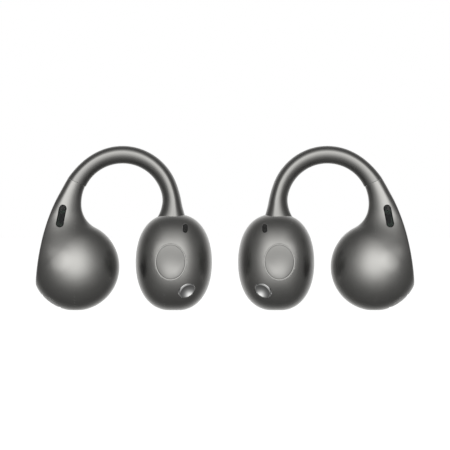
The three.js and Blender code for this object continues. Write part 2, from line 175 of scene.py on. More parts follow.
pod = {
    "ballX": 23.32, "ballZ": 6.76, "ballRadius": 6.84,
    "cornerX": 29.56, "cornerZ": 3.82, "lean": 0.05, "bow": 0.0115, "curl": 0.0002, "domeRadius": 45,
    "throatRadius": 6.45, "filletRadius": 4, "top": 21.2,
    # the neck: its half depth low and high, where its ridge lies across it, how widely it joins the ball
    "neckDepth": (4.3, 1.95), "neckTop": 20.05, "neckLow": 6.05, "neckFoot": 10.5, "footFade": 0.12,
    "ridge": (0.65, 0.60), "ridgeSpan": (17, 20), "blend": 2.2,
    "faceRoom": 1.2, "faceSpan": (12, 19),  # what the flat outer face cuts off the neck, and where that ends
    "middleSpan": (2, 6.4),  # above the ball's centre, where a section's centre moves over to the neck's ridge
    "lowest": 171.2, "highest": 55,  # degrees from the ball's top of the level rings on the ball
    "creaseRound": 0.14, "wall": 0.7, "splitX": 23.3,
}
arch = {
    "x": 15.95, "z": 16.6, "radius": 7.7, "startAngle": 24.6,
    "outer": 9.0, "outerSag": 0.06, "shoulder": 0.44, "shoulderSpan": 45,  # radii of the bridge's two sides
    "inner": 6.25, "innerShoulder": 0.09,
    "flareFrom": 160, "flareSpan": 20, "outerFlare": 0.27, "innerFlare": 0.1,  # it widens towards its foot
    "halfDepth": (1.95, 1.9, 2.75), "footAngle": 195,  # at the speaker pod, the crown and the foot
    "ridge": 0.25,  # the fullest line lies this share of the half thickness towards the outer side
}
egg = {
    "x": 7.98, "z": 7.45, "halfWidth": 5.95, "halfHeight": 7.53, "halfDepth": 7.8,
    "round": (2.5, 2.15, 2.1), "wall": 0.8, "splitX": 9.42,
}


def filletCentre():
    # The neck's fillet lies inside the throat's circle and outside the ball
    toArch = pod["throatRadius"] - pod["filletRadius"]
    toBall = pod["ballRadius"] + pod["filletRadius"]
    dx, dz = pod["ballX"] - arch["x"], pod["ballZ"] - arch["z"]
    apart = math.hypot(dx, dz)
    along = (toArch ** 2 - toBall ** 2 + apart ** 2) / (2 * apart)
    aside = math.sqrt(toArch ** 2 - along ** 2)
    return arch["x"] + (dx * along - dz * aside) / apart, arch["z"] + (dz * along + dx * aside) / apart


def innerSide(z, inset):
    middleX, middleZ = filletCentre()
    throat, fillet = pod["throatRadius"] + inset, pod["filletRadius"] + inset
    throatShare = pod["throatRadius"] / (pod["throatRadius"] - pod["filletRadius"])
    ballShare = pod["ballRadius"] / (pod["ballRadius"] + pod["filletRadius"])
    throatEnd = arch["z"] + (middleZ - arch["z"]) * throatShare
    ballEnd = pod["ballZ"] + (middleZ - pod["ballZ"]) * ballShare
    if z > throatEnd:
        return arch["x"] + math.sqrt(throat ** 2 - (z - arch["z"]) ** 2)
    if z > ballEnd:
        return middleX + math.sqrt(fillet ** 2 - (z - middleZ) ** 2)
    return pod["ballX"] - math.sqrt(max((pod["ballRadius"] - inset) ** 2 - (z - pod["ballZ"]) ** 2, 0))


def outerSide(z, inset):
    up = z - pod["cornerZ"]
    return pod["cornerX"] - inset - pod["lean"] * up - pod["bow"] * up ** 2 - pod["curl"] * up ** 3


def neckSection(z, inset):
    # The neck's ridge line, its reach inward and outward, and its half depth at a height
    inner = arch["x"] + math.sqrt(pod["throatRadius"] ** 2 - max(z - arch["z"], 0) ** 2)
    outer = outerSide(z, 0)
    share = mix(*pod["ridge"], smoothstep(z, *pod["ridgeSpan"])) if inset == 0 else 0.5
    ridge = mix(inner, outer, share)
    room = pod["faceRoom"] * (1 - smoothstep(z, *pod["faceSpan"]))
    depth = mix(*pod["neckDepth"], smoothstep(z, pod["neckLow"], pod["neckTop"]))
    return ridge, ridge - inner - inset, outer + room - ridge - inset, depth - inset


def podMiddle(z, inset):
    # Where the level section's rays start, inside both the ball and the neck
    share = smoothstep(z - pod["ballZ"], *pod["middleSpan"])
    return float(mix(pod["ballX"], neckSection(z, inset)[0], share))


def podField(x, y, z, inset):
    # Below zero inside the ball or the neck, which run into each other smoothly
    fromBall = np.sqrt((x - pod["ballX"]) ** 2 + y ** 2 + (z - pod["ballZ"]) ** 2)
    ball = fromBall - pod["ballRadius"] + inset
    ridge, inward, outward, depth = neckSection(z, inset)
    across = np.where(x < ridge, inward, outward)
    away = np.sqrt(((x - ridge) / across) ** 2 + (y / depth) ** 2)
    neck = (away - 1) * depth + pod["footFade"] * max(pod["neckFoot"] - z, 0) ** 2
    blend = pod["blend"]
    near = np.maximum(blend - np.abs(ball - neck), 0) / blend
    return np.minimum(ball, neck) - near ** 2 * blend / 4


def podReach(angles, z, inset):
    # How far the ball and neck reach at angles round their level section, from outward through the front
    c, s = np.cos(angles), np.sin(angles)
    middle = podMiddle(z, inset)
    low, high = np.zeros_like(c), np.full_like(c, 12)
    for _ in range(34):
        half = (low + high) / 2
        outside = podField(middle + half * c, half * s, z, inset) > 0
        low, high = np.where(outside, low, half), np.where(outside, half, high)
    return low


def podFace(angles, z, inset):
    # How far the gently domed outer face is at angles round the level section
    c, s = np.cos(angles), np.sin(angles)
    sag = s * s / (2 * pod["domeRadius"]) + 1e-9
    toFace = outerSide(z, inset) - podMiddle(z, inset)
    return np.where(c > 0, (np.sqrt(c * c + 4 * sag * toFace) - c) / (2 * sag), 99)


def podSkin(name, inset, rows, columns):
    # Level rings of the ball and neck, whose points gather along the edge of the gently domed outer face
    crease = pod["creaseRound"]
    radius = pod["ballRadius"] - inset
    angles = np.linspace(pod["lowest"], pod["highest"], rows[0])
    onBall = [pod["ballZ"] + radius * direction(a)[0] for a in angles]
    heights = onBall + list(np.linspace(onBall[-1], pod["top"], rows[1] + 1)[1:])
    search = np.radians(np.linspace(0, 89, 400))
    rings = []
    for z in heights:
        proud = podReach(search, z, inset) - podFace(search, z, inset)
        edge = max(search[np.argmax(proud < 0)] if proud[0] > 0 else 0, math.radians(7))
        onFace = edge * (1 - (1 - np.linspace(0, 1, columns[0], endpoint=False)) ** 1.5)
        beyond = edge + (math.pi - edge) * np.linspace(0, 1, columns[1]) ** 1.3
        half = np.concatenate([onFace, beyond])
        reach, face = podReach(half, z, inset), podFace(half, z, inset)
        reach = (reach + face - np.sqrt((reach - face) ** 2 + crease ** 2)) / 2
        x, y, middle = reach * np.cos(half), reach * np.sin(half), podMiddle(z, inset)
        missing = middle - innerSide(z, inset) - reach[-1]  # the inner side's outline is known exactly
        x = middle + x - missing * np.clip(-x / reach[-1], 0, 1) ** 3
        x, y = np.concatenate([x, x[-2:0:-1]]), np.concatenate([y, -y[-2:0:-1]])
        rings.append(np.stack([x, y, y * 0 + z], 1))
    return loft(name, rings)


def podFrontY(x, z):
    low, high = 0, 8
    for _ in range(30):
        half = (low + high) / 2
        low, high = (low, half) if podField(np.float64(x), half, z, 0) > 0 else (half, high)
    return -low


def eggSkin(name, inset, rows, columns):
    a, b, c = egg["halfWidth"] - inset, egg["halfHeight"] - inset, egg["halfDepth"] - inset
    rings = []
    for polar in np.radians(np.linspace(179.4, 0.6, rows)):
        turn = np.linspace(0, 2 * math.pi, columns, endpoint=False)
        x, y, z = np.sin(polar) * np.cos(turn), np.sin(polar) * np.sin(turn), np.cos(polar) + turn * 0
        reach = (np.abs(x / a) ** 2 + np.abs(y / c) ** 2 + np.abs(z / b) ** 2) ** -0.5
        for _ in range(12):  # Newton's steps out to the surface
            terms = [np.abs(v * reach / size) ** power
                     for v, size, power in zip((x, y, z), (a, c, b), egg["round"])]
            slope = sum(term * power for term, power in zip(terms, egg["round"])) / reach
            reach = reach - (sum(terms) - 1) / slope
        rings.append(np.stack([egg["x"] + x * reach, y * reach, np.maximum(egg["z"] + z * reach, 0)], 1))
    return loft(name, rings)


def eggFrontY(x, z):
    across, up = abs(x - egg["x"]) / egg["halfWidth"], abs(z - egg["z"]) / egg["halfHeight"]
    return -egg["halfDepth"] * (1 - across ** egg["round"][0] - up ** egg["round"][2]) ** (1 / egg["round"][1])


def archSides(degrees):
    # The radii of the bridge's inner and outer sides
    start = max(1 - (degrees - arch["startAngle"]) / arch["shoulderSpan"], 0)
    flare = max(degrees - arch["flareFrom"], 0) / arch["flareSpan"]
    outer = arch["outer"] - arch["outerSag"] * smoothstep(degrees, 90, 150)
    outer += arch["shoulder"] * start ** 3 + arch["outerFlare"] * flare ** 2
    inner = arch["inner"] + arch["innerShoulder"] * (1 - smoothstep(degrees, arch["startAngle"], 90))
    return inner - arch["innerFlare"] * flare ** 3.7, outer


def archPoint(degrees, y, offset=0):
    # A point on the bridge's middle line, then offset outward
    c, s = direction(min(degrees, 180))  # past 180 degrees the bridge runs straight down
    past = math.radians(max(degrees - 180, 0)) * arch["radius"]
    inner, outer = archSides(degrees)
    reach = (inner + outer) / 2 + offset
    return arch["x"] + reach * c, y, arch["z"] + reach * s - past


def archDepth(degrees):
    start, crown, foot = arch["halfDepth"]
    if degrees < 90:
        return mix(start, crown, (degrees - arch["startAngle"]) / (90 - arch["startAngle"]))
    return mix(crown, foot, smoothstep(degrees, 90, arch["footAngle"]))


def stadium(halfWidth, halfLength, grow, steps=14):
    radius, reach = halfWidth + grow, halfLength - halfWidth
    ends = []
    for end in (0, 1):
        for angle in np.linspace(0, math.pi, steps) + end * math.pi:
            ends.append((radius * math.cos(angle), radius * math.sin(angle) + (reach if end == 0 else -reach)))
    return ends


def oval(halfWidth, halfHeight, grow, steps=72):
    turn = np.linspace(0, 2 * math.pi, steps, endpoint=False)
    return [((halfWidth + grow) * math.cos(a), (halfHeight + grow) * math.sin(a)) for a in turn]


def plug(name, outline, place, lip, depth, proud=0.6):
    # A cutter that rounds the edge of the opening it makes by a small radius
    steps = [(-proud, lip)]
    for turn in np.radians([18, 36, 54, 72, 90]):
        steps.append((lip * (1 - math.cos(turn)), lip * (1 - math.sin(turn))))
    steps.append((depth, 0))
    return loft(name, [[place(u, v, down) for u, v in outline(grow)] for down, grow in steps])


def slantedFront(settings, surfaceY):
    # Places on a front surface, seen from the front and turned by the opening's tilt
    c, s = direction(settings.get("tilt", 0))

    def place(u, v, down):
        x, z = settings["x"] + u * c - v * s, settings["z"] + u * s + v * c
        return x, surfaceY(x, z) + down, z
    return place


def newMaterial(name, color, metallic, roughness, **settings):
    material = bpy.data.materials.new(name)
    material.use_nodes = True
    shader = material.node_tree.nodes["Principled BSDF"]
    shader.inputs["Base Color"].default_value = (*color, 1)
    shader.inputs["Metallic"].default_value = metallic
    shader.inputs["Roughness"].default_value = roughness
    for socket, value in settings.items():
        shader.inputs[socket.replace("_", " ")].default_value = value
    return material, material.node_tree.nodes, material.node_tree.links, shader


def objectPoint(nodes):
    return nodes.new("ShaderNodeTexCoord").outputs["Object"]


def noise(nodes, links, scale, detail=2.0):
    node = nodes.new("ShaderNodeTexNoise")
    node.inputs["Scale"].default_value = scale
    node.inputs["Detail"].default_value = detail
    links.new(objectPoint(nodes), node.inputs["Vector"])
    return node.outputs["Fac"]


def spread(nodes, links, value, low, high):
    # Spreads a noise's middle range over low to high
    node = nodes.new("ShaderNodeMapRange")
    for socket, number in (("From Min", 0.3), ("From Max", 0.7), ("To Min", low), ("To Max", high)):
        node.inputs[socket].default_value = number
    links.new(value, node.inputs["Value"])
    return node.outputs["Result"]


def varied(nodes, links, shader, value, color, amount):
    # The base colour varies a little, darker to lighter
    node = nodes.new("ShaderNodeMix")
    node.data_type = "RGBA"
    node.inputs["A"].default_value = (*[c * (1 - amount) for c in color], 1)
    node.inputs["B"].default_value = (*[min(c * (1 + amount), 1) for c in color], 1)
    links.new(value, node.inputs["Factor"])
    links.new(node.outputs["Result"], shader.inputs["Base Color"])


def bumped(nodes, links, shader, value, strength, distance):
    node = nodes.new("ShaderNodeBump")
    node.inputs["Strength"].default_value = strength
    node.inputs["Distance"].default_value = distance
    links.new(value, node.inputs["Height"])
    links.new(node.outputs["Normal"], shader.inputs["Normal"])


finishes = {
    # name: colour, metallic, roughness, colour variation, grain per metre, grain strength, grain depth in metres
    "graphiteCoat": ((0.50, 0.495, 0.475), 1.0, 0.30, 0.02, 9000, 0.10, 0.000004),
    "graphiteSilicone": ((0.42, 0.416, 0.40), 1.0, 0.33, 0.02, 11000, 0.12, 0.000005),
    "polishedContact": ((0.86, 0.86, 0.85), 1.0, 0.10, 0.01, 4000, 0.05, 0.000002),
    "darkMesh": ((0.016, 0.017, 0.017), 0.0, 0.6, 0.05, 12000, 0.2, 0.00001),
    "graphiteButton": ((0.41, 0.406, 0.39), 1.0, 0.33, 0.02, 9000, 0.10, 0.000004),
    "grilleMetal": ((0.46, 0.455, 0.44), 1.0, 0.32, 0.02, 9000, 0.10, 0.000004),
    "blackNylon": ((0.05, 0.05, 0.055), 0.0, 0.55, 0.10, 6000, 0.3, 0.00001),
    "platedSteel": ((0.62, 0.62, 0.61), 1.0, 0.28, 0.04, 5000, 0.2, 0.000005),
    "nickelMagnet": ((0.70, 0.69, 0.67), 1.0, 0.20, 0.03, 3000, 0.2, 0.000005),
    "paperFilm": ((0.045, 0.045, 0.05), 0.0, 0.50, 0.10, 9000, 0.4, 0.00001),
    "closedFoam": ((0.03, 0.03, 0.03), 0.0, 0.95, 0.25, 5000, 0.9, 0.00004),
    "moldedChip": ((0.02, 0.02, 0.022), 0.0, 0.42, 0.10, 8000, 0.3, 0.00001),
    "steelCan": ((0.60, 0.60, 0.60), 1.0, 0.25, 0.04, 4000, 0.2, 0.000005),
    "amberFilm": ((0.42, 0.20, 0.045), 0.0, 0.32, 0.08, 3000, 0.2, 0.000005),
}


meshSheen = 0.1  # an open weave reflects little


def makeFinish(name):
    color, metallic, roughness, variation, grain, strength, depth = finishes[name]
    material, nodes, links, shader = newMaterial(name, color, metallic, roughness)
    broad = noise(nodes, links, grain / 12, 3)
    fine = noise(nodes, links, grain)
    varied(nodes, links, shader, spread(nodes, links, broad, 0, 1), color, variation)
    links.new(spread(nodes, links, broad, roughness * 0.95, roughness * 1.05), shader.inputs["Roughness"])
    bumped(nodes, links, shader, fine, strength, depth)
    if name == "darkMesh":
        shader.inputs["Specular IOR Level"].default_value = meshSheen
    return material


def copperWinding():
    # Enamelled wire wound in fine turns along the coil's axis
    color = (0.62, 0.26, 0.12)
    material, nodes, links, shader = newMaterial("copperWinding", color, 1.0, 0.3, Coat_Weight=0.5)
    wave = nodes.new("ShaderNodeTexWave")
    wave.inputs["Scale"].default_value = 2600
    wave.bands_direction = "Z"
    links.new(objectPoint(nodes), wave.inputs["Vector"])
    varied(nodes, links, shader, wave.outputs["Fac"], color, 0.35)
    bumped(nodes, links, shader, wave.outputs["Fac"], 0.6, 0.00003)
    return material


def greenBoard():
    # Solder mask with faint copper tracks under it
    color = (0.02, 0.09, 0.045)
    material, nodes, links, shader = newMaterial("greenBoard", color, 0.0, 0.28, Coat_Weight=0.4)
    tracks = nodes.new("ShaderNodeTexVoronoi")
    tracks.feature = "DISTANCE_TO_EDGE"
    tracks.inputs["Scale"].default_value = 1400
    links.new(objectPoint(nodes), tracks.inputs["Vector"])
    edge = nodes.new("ShaderNodeMapRange")
    edge.inputs["From Max"].default_value = 0.08
    links.new(tracks.outputs["Distance"], edge.inputs["Value"])
    varied(nodes, links, shader, edge.outputs["Result"], color, 0.4)
    bumped(nodes, links, shader, edge.outputs["Result"], 0.4, 0.00002)
    return material


materials = {name: makeFinish(name) for name in finishes}
materials["copperWinding"] = copperWinding()
materials["greenBoard"] = greenBoard()
print("materials:", len(materials))


def perforationTree():
    # Drills a plate that lies in X and Y with staggered rows of holes, kept clear of its round-ended outline
    tree = bpy.data.node_groups.new("perforatedPlate", "GeometryNodeTree")
    face = tree.interface
    face.new_socket("Geometry", in_out="INPUT", socket_type="NodeSocketGeometry")
    for label in ("Pitch", "Hole Radius", "Half Width", "Half Length", "Margin"):
        face.new_socket(label, in_out="INPUT", socket_type="NodeSocketFloat")
    face.new_socket("Finish", in_out="INPUT", socket_type="NodeSocketMaterial")
    face.new_socket("Geometry", in_out="OUTPUT", socket_type="NodeSocketGeometry")
    nodes, links = tree.nodes, tree.links
    given = nodes.new("NodeGroupInput").outputs
    done = nodes.new("NodeGroupOutput").inputs

    def calculate(operation, *values):
        node = nodes.new("ShaderNodeMath")
        node.operation = operation
        for i, value in enumerate(values):
            if isinstance(value, (int, float)):
                node.inputs[i].default_value = value
            else:
                links.new(value, node.inputs[i])
        return node.outputs[0]

    across = calculate("ADD", calculate("CEIL", calculate("DIVIDE", given["Half Width"], given["Pitch"])), 1)
    along = calculate("ADD", calculate("CEIL", calculate("DIVIDE", given["Half Length"], given["Pitch"])), 1)
    countX = calculate("ADD", calculate("MULTIPLY", across, 2), 1)
    countY = calculate("ADD", calculate("MULTIPLY", along, 2), 1)
    rowPitch = calculate("MULTIPLY", given["Pitch"], math.sqrt(3) / 2)
    grid = nodes.new("GeometryNodeMeshGrid")
    links.new(calculate("MULTIPLY", calculate("MULTIPLY", across, 2), rowPitch), grid.inputs["Size X"])
    links.new(calculate("MULTIPLY", calculate("MULTIPLY", along, 2), given["Pitch"]), grid.inputs["Size Y"])
    links.new(countX, grid.inputs["Vertices X"])
    links.new(countY, grid.inputs["Vertices Y"])

    index = nodes.new("GeometryNodeInputIndex").outputs[0]
    row = calculate("FLOOR", calculate("DIVIDE", index, countY))
    stagger = calculate("MULTIPLY", calculate("MODULO", row, 2), calculate("DIVIDE", given["Pitch"], 2))
    offset = nodes.new("ShaderNodeCombineXYZ")
    links.new(stagger, offset.inputs["Y"])
    moved = nodes.new("GeometryNodeSetPosition")
    links.new(grid.outputs["Mesh"], moved.inputs["Geometry"])
    links.new(offset.outputs[0], moved.inputs["Offset"])

    place = nodes.new("ShaderNodeSeparateXYZ")
    links.new(nodes.new("GeometryNodeInputPosition").outputs[0], place.inputs[0])
    straight = calculate("SUBTRACT", given["Half Length"], given["Half Width"])
    pastEnd = calculate("MAXIMUM", calculate("SUBTRACT", calculate("ABSOLUTE", place.outputs["Y"]), straight), 0)
    away = calculate("SQRT", calculate("ADD", calculate("POWER", pastEnd, 2),
                                       calculate("POWER", calculate("ABSOLUTE", place.outputs["X"]), 2)))
    outside = calculate("GREATER_THAN", away, calculate("SUBTRACT", given["Half Width"], given["Margin"]))
    kept = nodes.new("GeometryNodeDeleteGeometry")
    links.new(moved.outputs[0], kept.inputs["Geometry"])
    links.new(outside, kept.inputs["Selection"])

    drill = nodes.new("GeometryNodeMeshCylinder")
    drill.inputs["Vertices"].default_value = 10
    drill.inputs["Depth"].default_value = 0.002
    links.new(given["Hole Radius"], drill.inputs["Radius"])
    drills = nodes.new("GeometryNodeInstanceOnPoints")
    links.new(kept.outputs[0], drills.inputs["Points"])
    links.new(drill.outputs["Mesh"], drills.inputs["Instance"])
    loose = nodes.new("GeometryNodeRealizeInstances")
    links.new(drills.outputs[0], loose.inputs[0])
    drilled = nodes.new("GeometryNodeMeshBoolean")
    drilled.operation = "DIFFERENCE"
    drilled.solver = "MANIFOLD"
    links.new(given["Geometry"], drilled.inputs["Mesh 1"])
    links.new(loose.outputs[0], drilled.inputs["Mesh 2"])
    real = nodes.new("GeometryNodeRealizeInstances")
    links.new(drilled.outputs["Mesh"], real.inputs[0])
    painted = nodes.new("GeometryNodeSetMaterial")
    links.new(real.outputs[0], painted.inputs["Geometry"])
    links.new(given["Finish"], painted.inputs["Material"])
    links.new(painted.outputs[0], done["Geometry"])
    return tree


perforation = perforationTree()


def perforatedPlate(name, settings, place, material):
    # A round-ended plate, drilled flat and then laid on its surface at its depth
    halfWidth = settings["width"] / 2 - settings["clearance"]
    halfLength = settings["length"] / 2 - settings["clearance"]
    outline = stadium(halfWidth, halfLength, 0)
    rings = [[[u, v, -down] for u, v in outline] for down in (settings["top"], settings["bottom"])]
    plate = bpy.data.objects.new(name, loft(name, rings))
    bpy.context.scene.collection.objects.link(plate)
    modifier = plate.modifiers.new("perforation", "NODES")
    modifier.node_group = perforation
    values = {
        "Pitch": settings["pitch"] * mm, "Hole Radius": settings["holeRadius"] * mm,
        "Half Width": halfWidth * mm, "Half Length": halfLength * mm,
        "Margin": (settings["holeRadius"] + settings["edge"]) * mm, "Finish": material,
    }
    for item in perforation.interface.items_tree:
        if item.in_out == "INPUT" and item.name in values:
            modifier[item.identifier] = values[item.name]
    mesh = evaluated(plate)
    bpy.data.objects.remove(plate)
    bm = bmesh.new()
    bm.from_mesh(mesh)
    bmesh.ops.triangulate(bm, faces=bm.faces[:])
    bm.to_mesh(mesh)
    bm.free()
    return mapped(mesh, lambda points: np.array([place(u, v, -w) for u, v, w in points]))


pill = {"x": 25.43, "z": 14.66, "width": 1.19, "length": 3.52, "tilt": 10, "lip": 0.08, "cut": 1.6,
        "top": 0.35, "bottom": 0.5, "clearance": 0.02, "pitch": 0.2, "holeRadius": 0.065, "edge": 0.06}
outlet = {"angle": -55, "width": 3.5, "length": 6, "lip": 0.05, "gap": 0.03, "cut": 1.8,
          "top": 0.02, "bottom": 0.32, "clearance": 0.0, "pitch": 0.3, "holeRadius": 0.085, "edge": 0.12}


def onOutlet(u, v, down):
    # Places on the ball round the outlet's direction: u runs up the ball's outer side and v along Y
    c, s = direction(outlet["angle"])
    out = math.sqrt(pod["ballRadius"] ** 2 - u * u - v * v) - down
    return pod["ballX"] + out * c - u * s, v, pod["ballZ"] + out * s + u * c


def halfSpace(name, degrees, point):
    # A big block on the far side of a plane square to a direction in X and Z
    c, s = direction(degrees)
    size = 40
    corners = [(0, -size), (size, -size), (size, size), (0, size)]
    return prismY(name, [(point[0] + a * c - b * s, point[1] + a * s + b * c) for a, b in corners], -size, size)


def makeSpeakerPod():
    onPill = slantedFront(pill, podFrontY)
    pillOutline = lambda grow: stadium(pill["width"] / 2, pill["length"] / 2, grow)
    outletOutline = lambda grow: stadium(outlet["width"] / 2, outlet["length"] / 2, outlet["gap"] + grow)
    inside = podSkin("podInside", pod["wall"], (44, 30), (10, 36))
    shell = boolean(podSkin("podOutside", 0, (110, 76), (24, 84)), inside)
    seamX, _, seamZ = archPoint(arch["startAngle"], 0)
    shell = boolean(shell, halfSpace("neckEnd", arch["startAngle"] + 90, (seamX, seamZ)))
    shell = boolean(shell, plug("pillPlug", pillOutline, onPill, pill["lip"], pill["cut"]))
    shell = boolean(shell, plug("outletPlug", outletOutline, onOutlet, outlet["lip"], outlet["cut"]))
    for name, degrees in (("outer", 180), ("inner", 0)):
        shift = hairline / 2 if name == "outer" else -hairline / 2
        half = boolean(shell.copy(), halfSpace("split", degrees, (pod["splitX"] + shift, 0)))
        addPiece(f"speaker_{name}_cover", half, materials["graphiteCoat"],
                 [f"speaker_{name}_shell"], body="speaker_pod")
    mesh = perforatedPlate("pillMesh", pill, onPill, materials["darkMesh"])
    addPiece("slot_mesh_screen", mesh, materials["darkMesh"], ["slot_mesh"], body="speaker_pod")
    grille = perforatedPlate("outletGrille", outlet, onOutlet, materials["grilleMetal"])
    addPiece("outlet_grille_plate", grille, materials["grilleMetal"], ["outlet_grille"],
             body="speaker_pod")
    print("speaker pods made")


makeSpeakerPod()


sleeve = {"endRound": 0.05, "footAngle": 201, "rows": 180, "around": 72, "gap": 0.006, "socket": (175, 206),
          "channelHalfThickness": 0.55, "channelHalfDepth": 1.2, "bend": ((11.5, 0, 24.3), (20.4, 0, 24.3))}
core = {"wireRadius": 0.35, "wireY": -0.6, "flexHalfWidth": 0.5, "flexHalfThickness": 0.12, "flexY": 0.5,
        "fromAngle": 10, "toAngle": 201, "rows": 96}


def archRing(degrees, halfThickness, halfDepth, around, y=0):
    turn = np.linspace(0, 2 * math.pi, around, endpoint=False)
    return [archPoint(degrees, y + halfDepth * math.sin(a), halfThickness * math.cos(a)) for a in turn]


def sleeveRing(degrees, less):
    # Two half ellipses that meet at the bridge's ridge
    inner, outer = archSides(degrees)
    half, depth = (outer - inner) / 2, archDepth(degrees) - less
    shift = arch["ridge"] * half
    ring = []
    for a in np.linspace(0, 2 * math.pi, sleeve["around"], endpoint=False):
        reach = half - shift - less if math.cos(a) > 0 else half + shift - less
        ring.append(archPoint(degrees, depth * math.sin(a), shift + reach * math.cos(a)))
    return ring


def makeBridge():
    perDegree = math.radians(archSides(arch["startAngle"])[0] + 1.5)  # millimetres along the bridge
    start = arch["startAngle"] + sleeve["gap"] / perDegree
    rings = []
    for turn in np.radians([0, 30, 60]):  # the sleeve's end at the speaker pod is slightly rounded
        along = start + sleeve["endRound"] * (1 - math.cos(turn)) / perDegree
        rings.append(sleeveRing(along, sleeve["endRound"] * (1 - math.sin(turn))))
    for degrees in np.linspace(start + sleeve["endRound"] / perDegree, sleeve["footAngle"], sleeve["rows"]):
        rings.append(sleeveRing(degrees, 0))
    outside = loft("sleeveOutside", rings)
    channelAngles = np.linspace(arch["startAngle"] - 6, sleeve["footAngle"] + 6, 80)
    channel = loft("sleeveChannel", [archRing(a, sleeve["channelHalfThickness"], sleeve["channelHalfDepth"], 24)
                                     for a in channelAngles])
    addPiece("bridge_sleeve", boolean(outside, channel), materials["graphiteSilicone"],
             ["sleeve_speaker_half", "sleeve_battery_half"], bend=sleeve["bend"])
    angles = np.linspace(core["fromAngle"], core["toAngle"], core["rows"])
    wire = loft("wire", [archRing(a, core["wireRadius"], core["wireRadius"], 16, core["wireY"]) for a in angles])
    addPiece("bridge_spring_wire", wire, materials["platedSteel"], ["spring_wire"],
             bend=sleeve["bend"])
    thick, wide = core["flexHalfThickness"], core["flexHalfWidth"]
    corners = [(thick, wide), (-thick, wide), (-thick, -wide), (thick, -wide)]
    flex = loft("flex", [[archPoint(a, core["flexY"] + y, out) for out, y in corners] for a in angles])
    addPiece("bridge_flex_cable", flex, materials["amberFilm"], ["flex_cable"], bend=sleeve["bend"])
    print("bridges made")


makeBridge()


button = {"x": 8.38, "z": 7.55, "halfWidth": 2.42, "halfHeight": 2.85, "gap": 0.015, "lip": 0.03, "cut": 2,
          "rim": 0.2, "rimRound": 0.03, "face": -7.37, "dish": 0.12, "slope": 0.11, "depth": 0.9,
          "collar": 0.55}
port = {"x": 6.16, "z": 12.75, "width": 0.78, "length": 1.4, "lip": 0.07, "cut": 1.8,
        "top": 0.5, "bottom": 0.62, "clearance": 0.02, "pitch": 0.2, "holeRadius": 0.06, "edge": 0.05}
contact = {"x": 5.87, "y": -6.02, "z": 3.1, "normal": (-0.43, -0.69, -0.58), "radius": 1.36, "gap": 0.02,
           "dish": 0.5, "rim": 0.16, "depth": 0.7, "proud": 1.2, "below": 0.8}
parting = {"shift": 1.15, "fromZ": 11.2, "toZ": 14.6}  # the parting line leans towards the bridge near the top


def partingOutline(shift, side):
    heights = np.linspace(-2, 18, 60)
    line = [(egg["splitX"] + shift + parting["shift"] * float(smoothstep(z, parting["fromZ"], parting["toZ"])), z)
            for z in heights]
    return line + [(side, 18), (side, -2)]


def contactFrame(mirrorY):
    normal = Vector(contact["normal"])
    normal.y *= mirrorY
    normal.normalize()
    across = normal.cross(Vector((0, 0, 1))).normalized()
    up = across.cross(normal)
    middle = Vector((contact["x"], contact["y"] * mirrorY, contact["z"]))
    return lambda u, v, down: tuple(middle + across * u + up * v - normal * down)


def discRings(profile, place, around=64):
    # Rings of a turned profile of (radius, depth below the surface)
    turn = np.linspace(0, 2 * math.pi, around, endpoint=False)
    return [[place(radius * math.cos(a), radius * math.sin(a), down) for a in turn] for radius, down in profile]


def makeContact(mirrorY):
    place = contactFrame(mirrorY)
    radius, rim, dish, depth = contact["radius"], contact["rim"], contact["dish"], contact["depth"]
    profile = [(0.02, depth), (radius, depth), (radius, rim / 2)]
    for turn in np.radians(np.linspace(0, 180, 9)):
        profile.append((radius - rim / 2 + rim / 2 * math.cos(turn), rim / 2 * (1 - math.sin(turn))))
    bowl = radius - rim
    for share in np.linspace(0.97, 0.02, 14):
        profile.append((bowl * share, rim / 2 + dish * (1 - share * share)))
    return loft("contact", discRings(profile, place))


def makeButton():
    # An oval plate with a thin proud rim round a shallow dish that deepens downwards
    width, small = button["rim"], button["rimRound"]

    def ring(inward, down):
        outline = oval(button["halfWidth"], button["halfHeight"], -inward, 96)
        return [(button["x"] + u, button["face"] + down, button["z"] + v) for u, v in outline]

    rings = [ring(0, button["depth"])]
    for turn in np.radians(np.linspace(0, 90, 5)):
        rings.append(ring(small * (1 - math.cos(turn)), small * (1 - math.sin(turn))))
    for turn in np.radians(np.linspace(90, 0, 5)):
        rings.append(ring(width - small * (1 - math.cos(turn)), small * (1 - math.sin(turn))))
    edge = np.array(ring(width, small * 2))
    middle = np.array([button["x"], edge[0, 1], button["z"]])
    for share in np.linspace(0.985, 0.01, 40):
        points = mix(middle, edge, share)
        points[:, 1] += button["dish"] * (1 - share * share)
        below = button["z"] + button["halfHeight"] - points[:, 2]
        points[:, 1] += button["slope"] * below * (1 - share * share)
        rings.append(points)
    return loft("button", rings)


